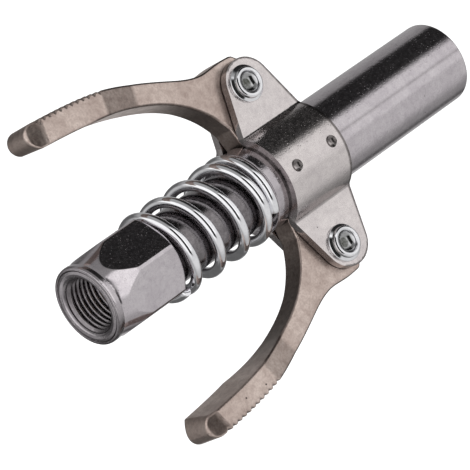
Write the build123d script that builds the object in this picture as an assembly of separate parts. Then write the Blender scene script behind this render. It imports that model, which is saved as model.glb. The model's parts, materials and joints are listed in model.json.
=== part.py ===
"""Grease coupler with two squeeze levers, modelled as separate solids.

Millimetres. The origin is the centre of the threaded port's rear face, +X runs along
the coupler towards its open nose, +Z is square to the plane the levers swing in, and
+Y is the side of the left lever.
"""

import math
import os

from build123d import *

os.makedirs("parts", exist_ok=True)

# Clearances that the fitting pieces share.
RUN = 0.05            # radial play of a running or sliding fit
SCREWED = 0.02        # radial play left in a screwed or pressed joint
SIDE = 0.2            # play on each side of a lever between the bracket halves
PUSH = 0.1            # gap between a lever nose and the collar it pushes
JAW_ROOM = 0.35       # radial room for the jaws to tilt inside the sleeve
TILT_ROOM = 0.15      # radial room for the jaw hooks to tilt on the carrier
END_PLAY = 0.2        # play along the axis at each end of a jaw hook

# Movement.
SQUEEZE = 23.0        # degrees each lever swings when it is squeezed shut
PIVOT_X = 48.4
PIVOT_Y = 15.7

# Guide shank and collar of the rear body, with the lever nose that pushes the collar.
GUIDE_R = 5.9         # polished shank that the sleeve and its spring run over
NECK_R = 3.0
PUSHER_R = 1.2
PUSHER_LEAD = 4.6     # from the pivot back to the centre of the lever's rounded nose
PUSHER_DROP = 0.5     # from the guide's surface down to that centre
PUSHER_X = PIVOT_X - PUSHER_LEAD
PUSHER_Y = GUIDE_R - PUSHER_DROP
NOSE_ROOM = 2.1       # room behind the noses for their swing
SHANK_FRONT = PUSHER_X - PUSHER_R - NOSE_ROOM
COLLAR_BACK = PUSHER_X + PUSHER_R + PUSH
COLLAR_LONG = 6.9
COLLAR_FRONT = COLLAR_BACK + COLLAR_LONG
COLLAR_WALL = 1.9
SOCKET_R = GUIDE_R - COLLAR_WALL
SOCKET_FLOOR = 0.9
SOCKET_BACK = COLLAR_BACK + SOCKET_FLOOR
PASSAGE_R = 1.25

# Bracket halves, pressed from sheet.
SLEEVE_WALL = 1.65
SLEEVE_R = GUIDE_R + RUN + SLEEVE_WALL
SHEET = 1.5
BRACKET_TAIL = 6.6    # from the pivots back to the bracket's rear edge
BRACKET_NOSE = 7.9
BRACKET_BACK = PIVOT_X - BRACKET_TAIL
BRACKET_FRONT = PIVOT_X + BRACKET_NOSE
NECK_HALF = 2.4       # half the thickness of a lever inside the bracket
EAR_IN = NECK_HALF + SIDE
EAR_OUT = EAR_IN + SHEET
SHELL_R = SLEEVE_R + SHEET
EAR_LEAD = 0.8
EAR_DROP = 0.45
EAR_X = PIVOT_X + EAR_LEAD
EAR_Y = PIVOT_Y - EAR_DROP
EAR_R = 4.85
FOLD_FILLET = 0.8
DIMPLE_BACK_INSET = 2.9
DIMPLE_FRONT_INSET = 2.6
DIMPLES = (BRACKET_BACK + DIMPLE_BACK_INSET, BRACKET_FRONT - DIMPLE_FRONT_INSET)
DIMPLE_R = 0.95
KEY_R = 0.6
KEY_DEEP = 0.5

# Rivets.
PIN_R = 2.0
HEAD_R = 3.3
HEAD_TALL = 1.4
RECESS_R = 1.75
RECESS_DEEP = 0.9

# Levers: edges of the left one from its tip towards the pivot, measured from the pivot.
LEVER_OUTER = (
    (-40.4, 13.75), (-32.5, 13.15), (-25.9, 12.15), (-18.2, 9.9), (-12.4, 7.5), (-7.8, 5.7),
)
LEVER_INNER = (
    (-6.5, -5.1), (-7.6, -2.9), (-10.0, 0.3), (-14.7, 3.95), (-20.2, 6.35), (-30.9, 8.8),
    (-41.4, 9.75),
)
TIP = (-42.8, 11.8)
LOBE_TOP = ((-5.6, 5.3), (-1.8, 5.45), (1.8, 5.3))
LOBE_R = 5.0
LOBE_LOW = 0.87       # share of the lobe's radius at which its arc ends below the pivot
ARM_FLARE = 0.6       # the arm is this much wider at its knee than at the nose
ARM_KNEE = 4.0
HANDLE_HALF = 3.5     # half the thickness of the handle
RAMP_BACK = -26.4     # ramp on the upper face, from the handle to the thinner neck
RAMP_FRONT = -20.1
LOW_RAMP_BACK = -20.5
LOW_RAMP_FRONT = -11.5
TIP_BEVEL_X = -39.0   # the upper face slopes down from here to the tip
TIP_SLOPE = 0.27
TEETH = 12
TEETH_START = -39.5
TEETH_END = -26.2
TOOTH_GAP_R = 0.44
LEFT_DRAFT = 0.5      # slope of the inner casting face over the handle's thickness
RIGHT_DRAFT = 1.1

# Rear body's hex and hose port.
HEX_AF = 14.3         # 9/16 inch
CORNER_RISE = 0.93    # turned corners stand this far outside the flats
HEX_CORNER_R = HEX_AF / 2 + CORNER_RISE
HEX_TURN = 53.0       # degrees from +Y to the middle of the first flat
HEX_FRONT = 15.7
HEX_CHAMFER = 0.7
BEAD_RISE = 0.05      # bead outside the flats
BEAD_R = HEX_AF / 2 + BEAD_RISE
BEAD_LONG = 1.4
CONE_DROP = 0.3       # the cone's small end inside the flats
CONE_R = HEX_AF / 2 - CONE_DROP
CONE_LONG = 7.0
PORT_R = 5.14         # full size of a 1/8-27 taper pipe thread
PORT_DEEP = 9.5
PORT_CHAMFER = 0.3

# Check valve.
SEAT_R = 3.5
SEAT_LONG = 2.5
SEAT_HOLE_R = 1.3
BALL_R = 2.0
CHAMBER_R = 2.6
CHAMBER_LONG = 8.0
CHAMBER_FRONT = PORT_DEEP + SEAT_LONG + CHAMBER_LONG
CHECK_SPRING_R = 1.9
CHECK_WIRE_R = 0.2
CHECK_TURNS = 5

# Jaw carrier, screwed into the collar.
BORE_R = GUIDE_R + RUN
BODY_RING_CORD = 0.6
BODY_RING_INSET = 1.1
BODY_RING_R = SOCKET_R - BODY_RING_INSET
CARRIER_R = BORE_R - JAW_ROOM
CARRIER_BACK = SOCKET_BACK + 2 * BODY_RING_CORD
STOP_LEAD = 2.2
STOP_BACK = COLLAR_FRONT + STOP_LEAD
STOP_LONG = 1.2
STOP_FRONT = STOP_BACK + STOP_LONG
STOP_GROOVE_DEEP = 0.7
STOP_GROOVE_R = CARRIER_R - STOP_GROOVE_DEEP
STOP_IN_R = STOP_GROOVE_R + 2 * RUN
STOP_CATCH = 0.55     # the snap ring reaches this far into the sleeve's wall
STOP_OUT_R = BORE_R + STOP_CATCH
STOP_GAP = 2.0
STOP_SPARE = 0.5      # length of the sleeve's stop groove beyond the stroke
WELL_R = 2.9
WELL_LEAD = 1.1
WELL_BACK = STOP_FRONT + WELL_LEAD
WELL_LONG = 9.3       # from the well's floor to the jaw groove
CARRIER_WALL = 0.9
GROOVE_R = WELL_R + CARRIER_WALL
GROOVE_DEEP = 0.8
LIP_R = GROOVE_R + GROOVE_DEEP
GROOVE_BACK = WELL_BACK + WELL_LONG
GROOVE_LONG = 2.6
GROOVE_FRONT = GROOVE_BACK + GROOVE_LONG
LIP_LONG = 1.8
CARRIER_FRONT = GROOVE_FRONT + LIP_LONG

# Nose seal.
SEAL_SPRING_LONG = 3.5
SEAL_BACK = WELL_BACK + SEAL_SPRING_LONG
PISTON_R = WELL_R - RUN
SEAL_TRAVEL = 1.2
SEAL_SPARE = 0.1
HEAD_BACK = CARRIER_FRONT + SEAL_TRAVEL + SEAL_SPARE
HEAD_LONG = 5.5
HEAD_FRONT = HEAD_BACK + HEAD_LONG
SEAL_NOSE_LONG = 3.5
SEAL_NOSE_FRONT = HEAD_FRONT + SEAL_NOSE_LONG
SPIGOT_R = 1.5
SPIGOT_LONG = 2.0
SPIGOT_FRONT = SEAL_NOSE_FRONT + SPIGOT_LONG
SEAL_HOLE_R = 0.9
SEAL_LONG = 3.8
SEAL_FRONT = SEAL_NOSE_FRONT + SEAL_LONG
SEAL_CUP_R = 1.9
SEAL_CUP_DEEP = 1.0
HOLDER_RING_LEAD = 4.0
HOLDER_RING_X = SEAL_BACK + HOLDER_RING_LEAD
HOLDER_RING_CORD = 0.4
HOLDER_RING_R = PISTON_R - HOLDER_RING_CORD + SCREWED
SEAL_SPRING_INSET = 0.5
SEAL_SPRING_R = WELL_R - SEAL_SPRING_INSET
SEAL_WIRE_R = 0.25
SEAL_TURNS = 3

# Jaws, from the rear hook to the lips that close behind the fitting's head.
JAW_COUNT = 4
JAW_GAP = 0.6
JAW_BACK = GROOVE_BACK + END_PLAY
HOOK_FRONT = GROOVE_FRONT - END_PLAY
HOOK_R = GROOVE_R + TILT_ROOM
JAW_LIP_R = LIP_R + TILT_ROOM
JAW_LIP_FRONT = CARRIER_FRONT + 2 * END_PLAY
JAW_OUT_R = CARRIER_R
JAW_BORE_R = 3.3
SEAL_ROOM = 0.2
SEAL_HEAD_R = JAW_BORE_R - SEAL_ROOM
RIB_TALL = 0.5
RIB_R = JAW_BORE_R - RIB_TALL
RIB_LONG = 1.2
RIB_BACK = HEAD_FRONT + SEAL_SPARE
RIB_FRONT = RIB_BACK + RIB_LONG
SEAL_NOSE_ROOM = 0.25
SEAL_NOSE_R = RIB_R - SEAL_NOSE_ROOM
POCKET_R = 3.4        # room for the head of the grease fitting
POCKET_BACK = SEAL_FRONT + END_PLAY
POCKET_LONG = 3.7
POCKET_FRONT = POCKET_BACK + POCKET_LONG
GRIP_R = 2.65
GRIP_RISE = 0.7
GRIP_BACK = POCKET_FRONT + GRIP_RISE
GRIP_LONG = 1.4
GRIP_FRONT = GRIP_BACK + GRIP_LONG
JAW_CHAMFER = 0.3
JAW_FRONT = GRIP_FRONT + JAW_CHAMFER
JAW_RING_LEAD = 1.1
JAW_RING_X = JAW_BACK + JAW_RING_LEAD
JAW_RING_SINK = 0.25
JAW_RING_R = JAW_OUT_R - JAW_RING_SINK
JAW_RING_CORD = 0.3

# Sleeve, with the cone in its nose that closes the jaws.
SLEEVE_TAIL = 9.5     # from the pivots back to the sleeve's rear end
SLEEVE_BACK = PIVOT_X - SLEEVE_TAIL
SLEEVE_PROUD = 0.4    # sleeve beyond the jaws
SLEEVE_FRONT = JAW_FRONT + SLEEVE_PROUD
NOSE_EDGE = 0.9
THROAT_STEP = 0.95
THROAT_R = BORE_R - THROAT_STEP
THROAT_LAND = 1.0
MOUTH_LONG = 5.7
THROAT_X = SLEEVE_FRONT - MOUTH_LONG
FLARE = 0.25          # rise of the closing cone for each millimetre
SLOT_TAIL = 6.8
SLOT_NOSE = 2.0
SLOT_BACK = PIVOT_X - SLOT_TAIL
SLOT_FRONT = PIVOT_X + SLOT_NOSE
JAW_CONE_GAP = 0.08
WAIST_DEEP = 0.75
JAW_WAIST_R = THROAT_R - WAIST_DEEP
WAIST_LEAD = 4.4      # from the throat back to the waist, just over the sleeve's stroke
WAIST_FRONT = THROAT_X - WAIST_LEAD
WAIST_BACK = HEAD_FRONT

# Main spring.
SPRING_WIRE_R = 0.95
SPRING_PLAY = 0.45
SPRING_R = GUIDE_R + SPRING_WIRE_R + SPRING_PLAY
SPRING_START = 162.0  # degrees from +Y to the wire's cut end on the hex
SPRING_DEAD = 0.65    # turns that lie on the hex
SPRING_OPEN = 3.22    # working turns
SPRING_CLOSED = 1.03  # turns that lie against the sleeve's end
SPRING_POINTS = 12    # path points in each turn


def lever_stroke():
    """Distance a lever nose travels along the coupler over a full squeeze."""
    angle = math.radians(SQUEEZE)
    down = PIVOT_Y - PUSHER_Y
    return PUSHER_LEAD * (1 - math.cos(angle)) + down * math.sin(angle)


STROKE = round(lever_stroke(), 2)


def turned(*points):
    """Solid turned about the coupler's axis from points (x, radius)."""
    profile = make_face(Polyline(*points, close=True))
    return revolve(profile, Axis.X)


def tube(back, front, outer, inner=0.0):
    """Plain turned ring between two stations on the axis."""
    return turned((back, inner), (front, inner), (front, outer), (back, outer))


def cord_ring(x, radius, cord):
    """Ring of round section about the axis."""
    return Pos(x, 0, 0) * Rotation(0, 90, 0) * Torus(radius, cord)


def coil(back, front, radius, wire, turns):
    """Compression spring that fits between two faces on the axis."""
    length = front - back - 2 * wire
    path = Helix(pitch=length / turns, height=length, radius=radius)
    section = Plane(origin=path @ 0, z_dir=path % 0) * Circle(wire)
    return Pos(back + wire, 0, 0) * Rotation(0, 90, 0) * sweep(section, path=path, is_frenet=True)


def slab(x0, x1, y0, y1, z0, z1):
    """Rectangular block between two corners."""
    middle = Pos((x0 + x1) / 2, (y0 + y1) / 2, (z0 + z1) / 2)
    return middle * Box(x1 - x0, y1 - y0, z1 - z0)


def rear_body():
    """Hex with the hose port, the guide shank, the neck and the collar, from one bar."""
    skin = turned(
        (0, 0), (0, CONE_R), (BEAD_LONG, CONE_R), (CONE_LONG, HEX_CORNER_R),
        (HEX_FRONT - HEX_CHAMFER, HEX_CORNER_R), (HEX_FRONT, HEX_AF / 2), (HEX_FRONT, 0),
    )
    bar = extrude(RegularPolygon(HEX_AF / 2, 6, major_radius=False), amount=HEX_FRONT)
    bar = Rotation(HEX_TURN, 0, 0) * Rotation(0, 90, 0) * bar
    bead = tube(0, BEAD_LONG, BEAD_R)
    bead = chamfer(bead.edges().sort_by(Axis.X)[0], PORT_CHAMFER)
    shank = tube(HEX_FRONT, SHANK_FRONT, GUIDE_R)
    shank = chamfer(shank.edges().sort_by(Axis.X)[-1], PORT_CHAMFER)
    neck = tube(SHANK_FRONT, COLLAR_BACK, NECK_R)
    collar = tube(COLLAR_BACK, COLLAR_FRONT, GUIDE_R)
    body = (skin & bar) + bead + shank + neck + collar
    chamber_back = PORT_DEEP + SEAT_LONG
    body -= turned(
        (0, 0), (0, PORT_R + PORT_CHAMFER), (PORT_CHAMFER, PORT_R), (PORT_DEEP, PORT_R),
        (PORT_DEEP, SEAT_R), (chamber_back, SEAT_R), (chamber_back, CHAMBER_R),
        (CHAMBER_FRONT, CHAMBER_R), (CHAMBER_FRONT, PASSAGE_R), (COLLAR_FRONT, PASSAGE_R),
        (COLLAR_FRONT, 0),
    )
    return body - tube(SOCKET_BACK, COLLAR_FRONT, SOCKET_R)


def check_seat():
    """Brass ring pressed in behind the check ball."""
    return tube(PORT_DEEP, PORT_DEEP + SEAT_LONG, SEAT_R - SCREWED, SEAT_HOLE_R)


def check_ball():
    """Steel ball resting on the edge of the seat."""
    stand_off = math.sqrt((BALL_R + SCREWED) ** 2 - SEAT_HOLE_R ** 2)
    return Pos(PORT_DEEP + SEAT_LONG + stand_off, 0, 0) * Sphere(BALL_R)


def check_spring():
    """Light spring that shuts the ball."""
    ball_centre = PORT_DEEP + SEAT_LONG + math.sqrt(BALL_R ** 2 - SEAT_HOLE_R ** 2)
    return coil(ball_centre + BALL_R / 2, CHAMBER_FRONT, CHECK_SPRING_R, CHECK_WIRE_R, CHECK_TURNS)


def jaw_carrier():
    """Front tube with the socket tail, stop groove and jaw groove."""
    return turned(
        (CARRIER_BACK, PASSAGE_R), (CARRIER_BACK, SOCKET_R - SCREWED),
        (COLLAR_FRONT, SOCKET_R - SCREWED), (COLLAR_FRONT, CARRIER_R),
        (STOP_BACK, CARRIER_R), (STOP_BACK, STOP_GROOVE_R),
        (STOP_FRONT, STOP_GROOVE_R), (STOP_FRONT, CARRIER_R),
        (GROOVE_BACK, CARRIER_R), (GROOVE_BACK, GROOVE_R), (GROOVE_FRONT, GROOVE_R),
        (GROOVE_FRONT, LIP_R), (CARRIER_FRONT, LIP_R), (CARRIER_FRONT, WELL_R),
        (WELL_BACK, WELL_R), (WELL_BACK, PASSAGE_R),
    )


def stop_ring():
    """Open snap ring that stops the sleeve at the front of its stroke."""
    ring = tube(STOP_BACK, STOP_FRONT, STOP_OUT_R, STOP_IN_R)
    half = STOP_GAP / 2
    return ring - slab(STOP_BACK - 1, STOP_FRONT + 1, -half, half, 0, 2 * STOP_OUT_R)


def jaw(index):
    """One gripping jaw: rear hook, waist, closing cone, pocket and lip."""
    head_r = THROAT_R - JAW_CONE_GAP
    mouth_r = head_r + FLARE * (GRIP_FRONT - THROAT_X)
    ring = JAW_RING_CORD + RUN
    shell = turned(
        (JAW_BACK, HOOK_R), (HOOK_FRONT, HOOK_R), (HOOK_FRONT, JAW_LIP_R),
        (JAW_LIP_FRONT, JAW_LIP_R), (JAW_LIP_FRONT, JAW_BORE_R), (RIB_BACK, JAW_BORE_R),
        (RIB_BACK, RIB_R), (RIB_FRONT, RIB_R), (RIB_FRONT, JAW_BORE_R),
        (POCKET_BACK, JAW_BORE_R), (POCKET_BACK, POCKET_R), (POCKET_FRONT, POCKET_R),
        (GRIP_BACK, GRIP_R), (GRIP_FRONT, GRIP_R), (JAW_FRONT, GRIP_R + JAW_CHAMFER),
        (JAW_FRONT, mouth_r - JAW_CHAMFER), (GRIP_FRONT, mouth_r),
        (THROAT_X, head_r), (WAIST_FRONT, JAW_WAIST_R), (WAIST_BACK, JAW_WAIST_R),
        (JAW_LIP_FRONT, JAW_OUT_R), (JAW_RING_X + ring, JAW_OUT_R),
        (JAW_RING_X + ring, JAW_RING_R - ring), (JAW_RING_X - ring, JAW_RING_R - ring),
        (JAW_RING_X - ring, JAW_OUT_R), (JAW_BACK, JAW_OUT_R),
    )
    far = 2 * JAW_OUT_R
    quarter = slab(JAW_BACK - 1, JAW_FRONT + 1, JAW_GAP / 2, far, JAW_GAP / 2, far)
    return Rotation(90 * index, 0, 0) * (shell & quarter)


def jaw_ring():
    """Wire ring that keeps the jaw hooks in their groove."""
    return cord_ring(JAW_RING_X, JAW_RING_R, JAW_RING_CORD)


def seal_holder():
    """Brass piston that carries the nose seal."""
    groove = HOLDER_RING_CORD + RUN
    groove_r = HOLDER_RING_R - HOLDER_RING_CORD - SCREWED
    return turned(
        (SEAL_BACK, SEAL_HOLE_R), (SEAL_BACK, PISTON_R), (HOLDER_RING_X - groove, PISTON_R),
        (HOLDER_RING_X - groove, groove_r), (HOLDER_RING_X + groove, groove_r),
        (HOLDER_RING_X + groove, PISTON_R), (HEAD_BACK, PISTON_R), (HEAD_BACK, SEAL_HEAD_R),
        (HEAD_FRONT, SEAL_HEAD_R), (HEAD_FRONT, SEAL_NOSE_R), (SEAL_NOSE_FRONT, SEAL_NOSE_R),
        (SEAL_NOSE_FRONT, SPIGOT_R), (SPIGOT_FRONT, SPIGOT_R), (SPIGOT_FRONT, SEAL_HOLE_R),
    )


def face_seal():
    """Soft seal with a cupped face for the fitting's head."""
    return turned(
        (SEAL_NOSE_FRONT, SPIGOT_R), (SEAL_NOSE_FRONT, SEAL_NOSE_R), (SEAL_FRONT, SEAL_NOSE_R),
        (SEAL_FRONT, SEAL_CUP_R), (SEAL_FRONT - SEAL_CUP_DEEP, SEAL_HOLE_R),
        (SPIGOT_FRONT, SEAL_HOLE_R), (SPIGOT_FRONT, SPIGOT_R),
    )


def outer_sleeve():
    """Long sleeve with the closing cone, the stop groove and a slot for each lever nose."""
    groove_r = STOP_OUT_R + 2 * RUN
    groove_front = STOP_FRONT + STROKE + STOP_SPARE
    throat_back = THROAT_X - THROAT_LAND
    mouth_r = THROAT_R + FLARE * (SLEEVE_FRONT - THROAT_X)
    body = tube(SLEEVE_BACK, SLEEVE_FRONT, SLEEVE_R)
    ends = body.edges().filter_by(GeomType.CIRCLE).sort_by(Axis.X)
    body = fillet(ends[-1], NOSE_EDGE)
    body -= turned(
        (SLEEVE_BACK, 0), (SLEEVE_BACK, BORE_R), (STOP_BACK, BORE_R), (STOP_BACK, groove_r),
        (groove_front, groove_r), (groove_front, BORE_R),
        (throat_back - (BORE_R - THROAT_R), BORE_R), (throat_back, THROAT_R),
        (THROAT_X, THROAT_R), (SLEEVE_FRONT, mouth_r), (SLEEVE_FRONT, 0),
    )
    half = EAR_IN
    body -= slab(SLOT_BACK, SLOT_FRONT, -2 * SLEEVE_R, 2 * SLEEVE_R, -half, half)
    for x in DIMPLES:
        hole = Pos(x, 0, 0) * Cylinder(KEY_R + RUN, 2 * (SLEEVE_R + 1))
        deep = Pos(x, 0, 0) * Cylinder(SLEEVE_R, 2 * (SLEEVE_R - KEY_DEEP - RUN))
        body -= hole - deep
    return body


def bracket_half():
    """Upper half of the pressed bracket: shell, two ears, punched keys and rivet holes."""
    middle = (BRACKET_BACK + BRACKET_FRONT) / 2
    root = math.sqrt(SHELL_R ** 2 - EAR_OUT ** 2)
    reach = EAR_Y + EAR_R
    sheet = Pos(0, EAR_IN + SHEET / 2) * Rectangle(2 * reach, SHEET)
    above = Pos(0, EAR_IN + SHELL_R / 2) * Rectangle(2 * SHELL_R, SHELL_R)
    section = (Circle(SHELL_R) & above) + sheet
    folds = [v for v in section.vertices() if abs(v.Y - EAR_OUT) < RUN and abs(abs(v.X) - root) < RUN]
    section = fillet(folds, FOLD_FILLET) - Circle(SLEEVE_R + SCREWED)
    along = Plane(origin=(BRACKET_BACK, 0, 0), x_dir=(0, 1, 0), z_dir=(1, 0, 0))
    body = extrude(along * section, amount=BRACKET_FRONT - BRACKET_BACK)
    foot = Pos(middle, root / 2) * Rectangle(BRACKET_FRONT - BRACKET_BACK, root)
    tip = Pos(EAR_X, EAR_Y) * Circle(EAR_R)
    outline = make_hull((Sketch() + [foot, tip]).edges())
    body &= extrude(outline + mirror(outline, Plane.XZ), amount=2 * SHELL_R)
    for side in (1, -1):
        body -= Pos(PIVOT_X, side * PIVOT_Y, EAR_IN) * Cylinder(PIN_R + SCREWED, 4 * SHEET)
    for x in DIMPLES:
        body -= Pos(x, 0, SHELL_R + DIMPLE_R / 3) * Sphere(DIMPLE_R)
        body += Pos(x, 0, SLEEVE_R - KEY_DEEP / 2) * Cylinder(KEY_R, KEY_DEEP + 2 * RUN)
    return body


def pivot_rivets():
    """Two rivets with a rolled upper head and a domed lower head."""
    rim_r = (RECESS_R + HEAD_R) / 2
    flange = HEAD_TALL / 3
    rivet = make_face(Polyline(
        (0, EAR_OUT + HEAD_TALL - RECESS_DEEP), (RECESS_R, EAR_OUT + HEAD_TALL - RECESS_DEEP),
        (RECESS_R, EAR_OUT + HEAD_TALL - flange / 2), (rim_r, EAR_OUT + HEAD_TALL),
        (rim_r + flange, EAR_OUT + flange), (HEAD_R, EAR_OUT + flange / 2), (HEAD_R, EAR_OUT),
        (PIN_R, EAR_OUT), (PIN_R, -EAR_OUT), (HEAD_R, -EAR_OUT),
        (HEAD_R, -EAR_OUT - flange), (rim_r, -EAR_OUT - HEAD_TALL), (0, -EAR_OUT - HEAD_TALL),
        close=True,
    ))
    rivet = revolve(Plane.XZ * rivet, Axis.Z)
    return [Pos(PIVOT_X, side * PIVOT_Y, 0) * rivet for side in (1, -1)]


def lever_outline(shift):
    """Outline of the left lever; shift moves the handle's inner edge towards the axis."""
    inner = [(x, y - shift) if x < RAMP_FRONT - 1 else (x, y) for x, y in LEVER_INNER]
    nose_x = PUSHER_X - PIVOT_X
    nose_y = PUSHER_Y - PIVOT_Y
    top = Spline(*LEVER_OUTER, *LOBE_TOP)
    lobe = ThreePointArc(LOBE_TOP[-1], (LOBE_R, 0), (LOBE_R / 2, -LOBE_R * LOBE_LOW))
    front = Line(lobe @ 1, (nose_x + PUSHER_R + ARM_FLARE, nose_y + ARM_KNEE))
    down = Line(front @ 1, (nose_x + PUSHER_R, nose_y))
    nose = ThreePointArc(down @ 1, (nose_x, nose_y - PUSHER_R), (nose_x - PUSHER_R, nose_y))
    rise = Line(nose @ 1, LEVER_INNER[0])
    under = Spline(*inner)
    tip = ThreePointArc(inner[-1], TIP, LEVER_OUTER[0])
    return make_face([top, lobe, front, down, nose, rise, under, tip])


def outer_edge_y(x):
    """Height of the handle's outer edge at a station, between the outline's points."""
    for (x0, y0), (x1, y1) in zip(LEVER_OUTER, LEVER_OUTER[1:]):
        if x0 <= x <= x1:
            return y0 + (y1 - y0) * (x - x0) / (x1 - x0)
    return LEVER_OUTER[-1][1]


def lever(draft):
    """Left lever, cast: toothed handle, ramped neck, pivot lobe and pushing nose."""
    high = Pos(0, 0, HANDLE_HALF) * lever_outline(max(draft, 0))
    low = Pos(0, 0, -HANDLE_HALF) * lever_outline(max(-draft, 0))
    blank = loft([low, high], ruled=True)
    near = 2 * LOBE_R
    far = TIP[0] - PIN_R
    side = make_face(Polyline(
        (far, HANDLE_HALF - (TIP_BEVEL_X - far) * TIP_SLOPE), (TIP_BEVEL_X, HANDLE_HALF),
        (RAMP_BACK, HANDLE_HALF), (RAMP_FRONT, NECK_HALF), (near, NECK_HALF),
        (near, -NECK_HALF), (LOW_RAMP_FRONT, -NECK_HALF), (LOW_RAMP_BACK, -HANDLE_HALF),
        (far, -HANDLE_HALF), close=True,
    ))
    body = blank & extrude(Plane.XZ * side, amount=2 * PIVOT_Y, both=True)
    pitch = (TEETH_END - TEETH_START) / (TEETH - 1)
    for tooth in range(TEETH):
        x = TEETH_START + tooth * pitch
        body -= Pos(x, outer_edge_y(x), 0) * Cylinder(TOOTH_GAP_R, 3 * HANDLE_HALF)
    return Pos(PIVOT_X, PIVOT_Y, 0) * (body - Cylinder(PIN_R + RUN, 3 * HANDLE_HALF))


def main_spring():
    """Stiff spring that drives the sleeve forward, with both ends closed."""
    start = HEX_FRONT + SPRING_WIRE_R
    closed = SPRING_CLOSED * (2 * SPRING_WIRE_R + RUN)
    stretch = SLEEVE_BACK - SPRING_WIRE_R - closed - start
    turns = SPRING_DEAD + SPRING_OPEN + SPRING_CLOSED
    count = round(turns * SPRING_POINTS)
    points = []
    for number in range(count + 1):
        turn = turns * number / count
        angle = math.radians(SPRING_START) + math.tau * turn
        opened = min(max((turn - SPRING_DEAD) / SPRING_OPEN, 0), 1)
        shut = max((turn - SPRING_DEAD - SPRING_OPEN) / SPRING_CLOSED, 0)
        x = start + stretch * opened + closed * shut
        points.append((x, SPRING_R * math.cos(angle), SPRING_R * math.sin(angle)))
    first = math.radians(SPRING_START)
    last = first + math.tau * turns
    ends = [(0, -math.sin(a), math.cos(a)) for a in (first, last)]
    path = Spline(*points, tangents=ends, tangent_scalars=(1, 1))
    section = Plane(origin=path @ 0, z_dir=path % 0) * Circle(SPRING_WIRE_R)
    return sweep(section, path=path)


def save(name, shape):
    """Write one node to its STEP file."""
    solids = shape if isinstance(shape, list) else [shape]
    body = Compound(children=solids) if len(solids) > 1 else solids[0]
    body.label = name
    export_step(body, f"parts/{name}.step")


save("rear_body", rear_body())
save("check_seat", check_seat())
save("check_ball", check_ball())
save("check_spring", check_spring())
save("body_ring", cord_ring(SOCKET_BACK + BODY_RING_CORD, BODY_RING_R, BODY_RING_CORD))
save("jaw_carrier", jaw_carrier())
save("stop_ring", stop_ring())
for number in range(JAW_COUNT):
    save(f"jaw_{number + 1}", jaw(number))
save("jaw_ring", jaw_ring())
save("seal_spring", coil(WELL_BACK, SEAL_BACK, SEAL_SPRING_R, SEAL_WIRE_R, SEAL_TURNS))
save("seal_holder", seal_holder())
save("holder_ring", cord_ring(HOLDER_RING_X, HOLDER_RING_R, HOLDER_RING_CORD))
save("face_seal", face_seal())
save("outer_sleeve", outer_sleeve())
upper = bracket_half()
save("bracket_top", upper)
save("bracket_bottom", mirror(upper, Plane.XY))
save("pivot_rivets", pivot_rivets())
save("lever_left", lever(LEFT_DRAFT))
save("lever_right", mirror(lever(-RIGHT_DRAFT), Plane.XZ))
save("main_spring", main_spring())
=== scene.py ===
"""Looks of a grease coupler with two squeeze levers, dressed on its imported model.

Metres in Blender; the shape tables below are millimetres in the model's own frame.
"""

import json
import math

import bmesh
import bpy
import numpy as np
from mathutils import Matrix, Vector

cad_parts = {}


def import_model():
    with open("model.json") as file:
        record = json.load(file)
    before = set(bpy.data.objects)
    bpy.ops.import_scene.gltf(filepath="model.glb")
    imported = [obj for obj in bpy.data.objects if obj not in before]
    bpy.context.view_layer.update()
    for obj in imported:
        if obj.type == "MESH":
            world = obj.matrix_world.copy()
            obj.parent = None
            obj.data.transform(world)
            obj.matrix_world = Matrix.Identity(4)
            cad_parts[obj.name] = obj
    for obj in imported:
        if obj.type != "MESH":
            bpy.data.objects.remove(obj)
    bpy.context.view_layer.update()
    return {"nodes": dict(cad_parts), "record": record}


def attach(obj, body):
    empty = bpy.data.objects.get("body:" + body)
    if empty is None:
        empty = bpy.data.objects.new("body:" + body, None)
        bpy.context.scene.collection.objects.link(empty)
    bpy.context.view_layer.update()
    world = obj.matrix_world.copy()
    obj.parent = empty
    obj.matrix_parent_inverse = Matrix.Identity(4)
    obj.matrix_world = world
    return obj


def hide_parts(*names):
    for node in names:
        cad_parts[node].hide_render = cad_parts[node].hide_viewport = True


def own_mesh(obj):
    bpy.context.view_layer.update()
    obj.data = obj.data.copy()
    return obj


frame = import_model()

MM = 0.001
WHITE = (1, 1, 1, 1)

# Sizes shared with the solid model, in millimetres.
PIVOT = (48.4, 15.7)
HEX_END = 15.7
SLEEVE_R, BORE_R = 7.6, 5.95
SLEEVE_BACK, SLEEVE_FRONT = 38.9, 91.0
SHELL_R = 9.1
SHEET = 1.5
EAR_TOP = 4.1
BRACKET_BACK, BRACKET_FRONT = 41.8, 56.3
EAR_CENTRE = (49.2, 15.25)
EAR_R = 4.85
HANDLE_HALF, NECK_HALF = 3.5, 2.4


# -------------------------------- mesh helpers

SAME_POINT = 1e-7     # metres below which two points are one
SHORTEST = 0.49       # largest share of an edge that a rounded corner may take


def place(name, data):
    """Put mesh or camera data into the scene as an object."""
    item = bpy.data.objects.new(name, data)
    bpy.context.scene.collection.objects.link(item)
    return item


def add_piece(name, points, faces, slot, body, *nodes, tone=None):
    """Make a smooth-shaded mesh piece from millimetre points and stand it in for CAD nodes.

    tone darkens and dulls the metal point by point, mostly as painted shade, from 0 for clean to 1
    for darkest, and smooths it below 0.
    """
    data = bpy.data.meshes.new(name)
    data.from_pydata([tuple(MM * c for c in p) for p in points], [], faces)
    store = data.attributes.new("tone", "FLOAT", "POINT")
    if tone is not None:
        store.data.foreach_set("value", [float(t) for t in tone])
    work = bmesh.new()
    work.from_mesh(data)
    bmesh.ops.remove_doubles(work, verts=work.verts, dist=SAME_POINT)
    bmesh.ops.recalc_face_normals(work, faces=work.faces)
    for face in work.faces:
        face.smooth = True
    work.to_mesh(data)
    work.free()
    piece = place(name, data)
    piece.data.materials.append(MATERIALS[slot])
    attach(piece, body)
    if nodes:
        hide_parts(*nodes)
    return piece


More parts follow.
